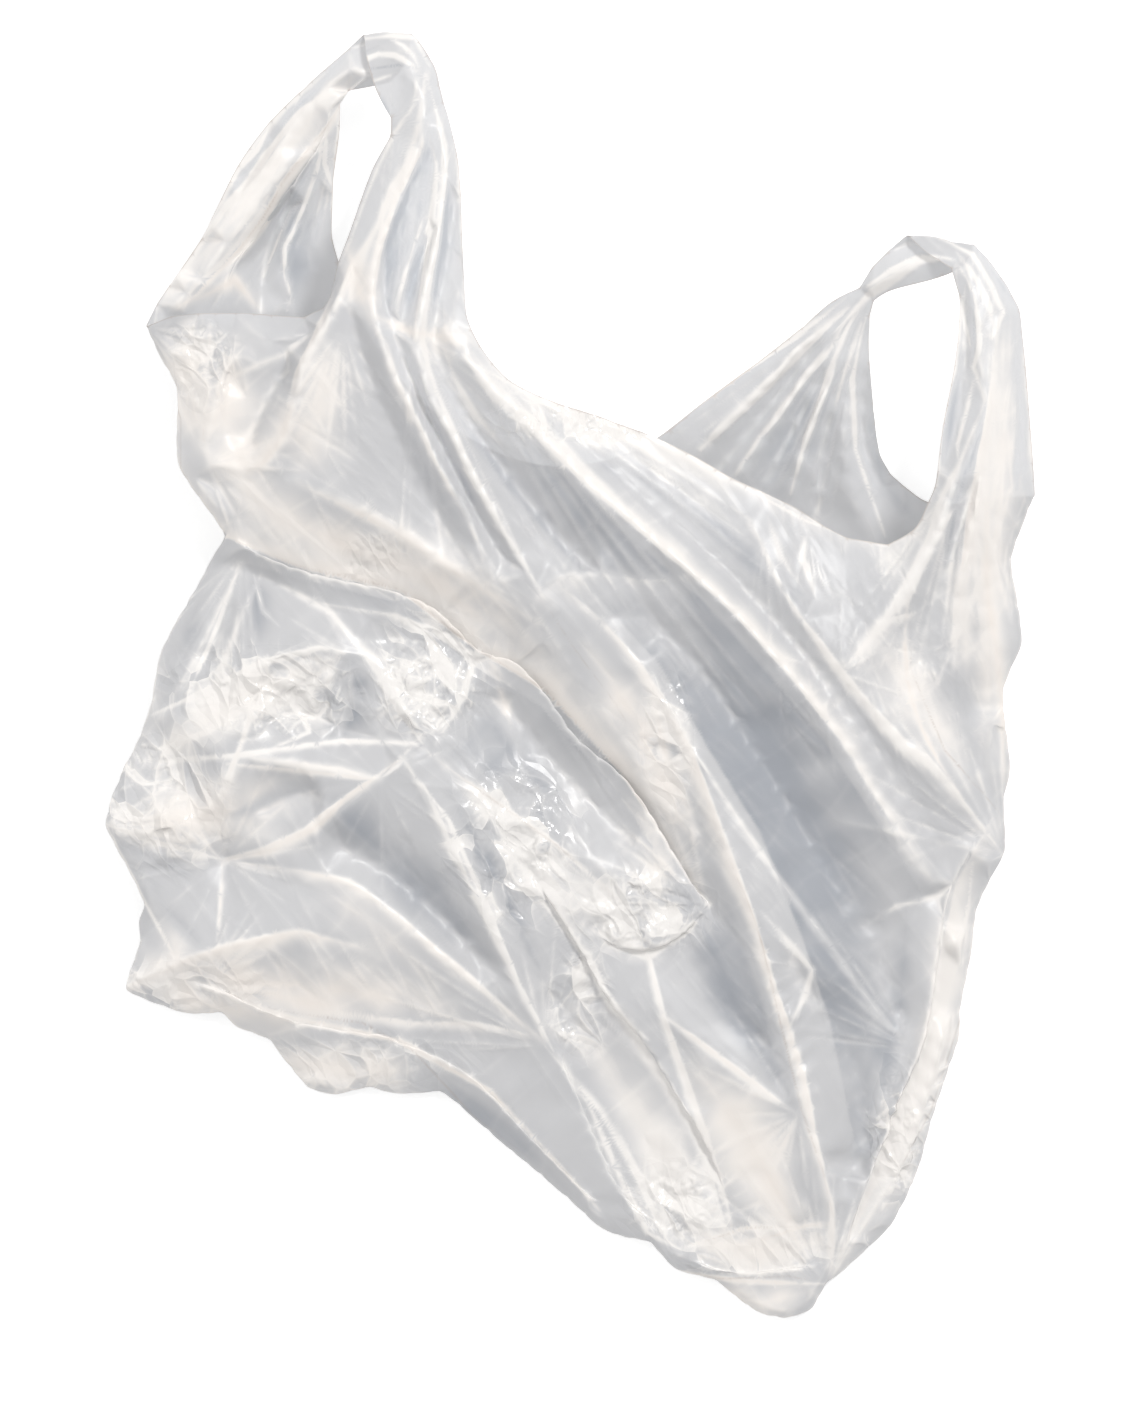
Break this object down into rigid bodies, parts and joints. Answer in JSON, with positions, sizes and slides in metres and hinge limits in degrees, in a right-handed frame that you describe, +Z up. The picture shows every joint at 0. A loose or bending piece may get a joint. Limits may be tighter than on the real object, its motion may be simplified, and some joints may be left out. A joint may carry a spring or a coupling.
{
  "type": "plastic bag",
  "caption": "Thin see-through film carrier bag with loop handles and side folds, lying crumpled and empty, for carrying light goods.",
  "frame": {"origin": "middle of the bag's outline on the ground, at the height of its flat back", "axes": "+Z up from the ground, +Y towards the handles, +X to the right as seen from above"},
  "size_m": [0.347, 0.48, 0.0604],
  "materials": {
    "film": "thin milky film, soft gloss, see-through"
  },
  "bodies": {
    "root": {"carrier_bag": "film"}
  },
  "joints": []
}
